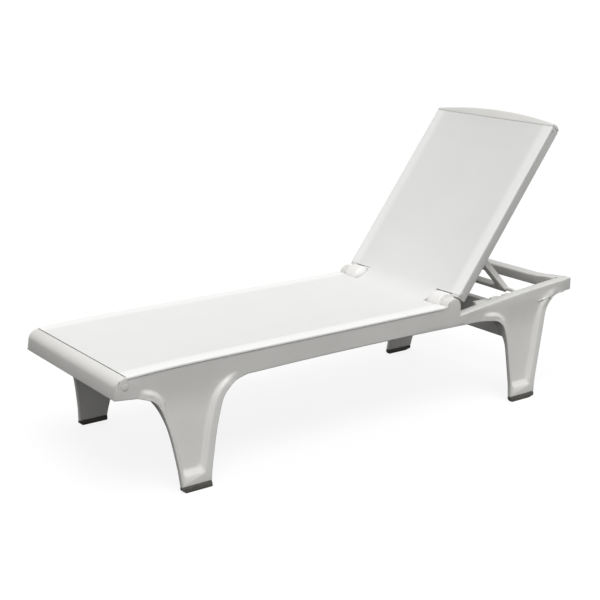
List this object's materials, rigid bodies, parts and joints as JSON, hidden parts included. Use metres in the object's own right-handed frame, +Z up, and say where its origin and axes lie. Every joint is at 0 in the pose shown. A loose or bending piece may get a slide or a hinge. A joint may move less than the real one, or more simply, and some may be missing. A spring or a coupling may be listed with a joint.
{
  "type": "reclining sun lounger",
  "caption": "Moulded resin sun lounger with a stretched mesh sling seat and a backrest that tilts on hinges and is held up by a folding stay in side racks.",
  "frame": {"origin": "on the ground, centred between the four legs across and along the base", "axes": "+X across, to the right side frame; +Y along the lounger from the foot end to the head end; +Z up"},
  "size_m": [0.689, 1.8336, 0.9701],
  "materials": {
    "moulded_resin": "satin white moulded resin with a very fine grain",
    "sling_mesh": "white coated mesh, plain weave",
    "pad_rubber": "matt dark rubber",
    "screw_steel": "stainless steel",
    "bush_nylon": "natural nylon",
    "keder_rod": "plain extruded rod"
  },
  "bodies": {
    "base": {"end_plug_left": "moulded_resin", "end_plug_right": "moulded_resin", "foot_bar": "moulded_resin", "foot_bar_screw_left": "screw_steel", "foot_bar_screw_right": "screw_steel", "foot_pad_left": "pad_rubber", "foot_pad_right": "pad_rubber", "head_leg_brace": "moulded_resin", "head_leg_brace_screw_1_left": "screw_steel", "head_leg_brace_screw_1_right": "screw_steel", "head_leg_brace_screw_2_left": "screw_steel", "head_leg_brace_screw_2_right": "screw_steel", "head_pad_left": "pad_rubber", "head_pad_right": "pad_rubber", "hinge_cover_left": "moulded_resin", "hinge_cover_right": "moulded_resin", "hinge_pin_left": "screw_steel", "hinge_pin_right": "screw_steel", "ratchet_rack_left": "moulded_resin", "ratchet_rack_right": "moulded_resin", "rear_cross_bar": "moulded_resin", "seat_cross_bar_front": "moulded_resin", "seat_cross_bar_front_screw_1_left": "screw_steel", "seat_cross_bar_front_screw_1_right": "screw_steel", "seat_cross_bar_front_screw_2_left": "screw_steel", "seat_cross_bar_front_screw_2_right": "screw_steel", "seat_cross_bar_middle": "moulded_resin", "seat_cross_bar_middle_screw_1_left": "screw_steel", "seat_cross_bar_middle_screw_1_right": "screw_steel", "seat_cross_bar_middle_screw_2_left": "screw_steel", "seat_cross_bar_middle_screw_2_right": "screw_steel", "seat_cross_bar_rear": "moulded_resin", "seat_cross_bar_rear_screw_1_left": "screw_steel", "seat_cross_bar_rear_screw_1_right": "screw_steel", "seat_cross_bar_rear_screw_2_left": "screw_steel", "seat_cross_bar_rear_screw_2_right": "screw_steel", "seat_edge_rod_left": "keder_rod", "seat_edge_rod_right": "keder_rod", "seat_sling": "sling_mesh", "side_frame_left": "moulded_resin", "side_frame_right": "moulded_resin"},
    "backrest": {"back_bottom_bar": "moulded_resin", "back_edge_rod_left": "keder_rod", "back_edge_rod_right": "keder_rod", "back_rail_left": "moulded_resin", "back_rail_right": "moulded_resin", "back_sling": "sling_mesh", "back_top_bar": "moulded_resin", "hinge_bush_left": "bush_nylon", "hinge_bush_right": "bush_nylon", "stay_pin_left": "screw_steel", "stay_pin_right": "screw_steel", "stay_pivot_boss_left": "moulded_resin", "stay_pivot_boss_right": "moulded_resin"},
    "stay": {"stay_frame": "moulded_resin"}
  },
  "joints": [
    {"name": "backrest_recline", "type": "hinge", "parent": "base", "child": "backrest", "pos_m": [0, 0.35435, 0.3724], "axis": [1, 0, 0], "range_deg": [-46.4, 16.3]},
    {"name": "stay_fold", "type": "hinge", "parent": "backrest", "child": "stay", "pos_m": [0, 0.50437, 0.54805], "axis": [1, 0, 0], "range_deg": [-32.6, 92.8]}
  ],
  "couplings": [
    {"joint": "stay_fold", "follows": "backrest_recline", "ratio": -2}
  ]
}
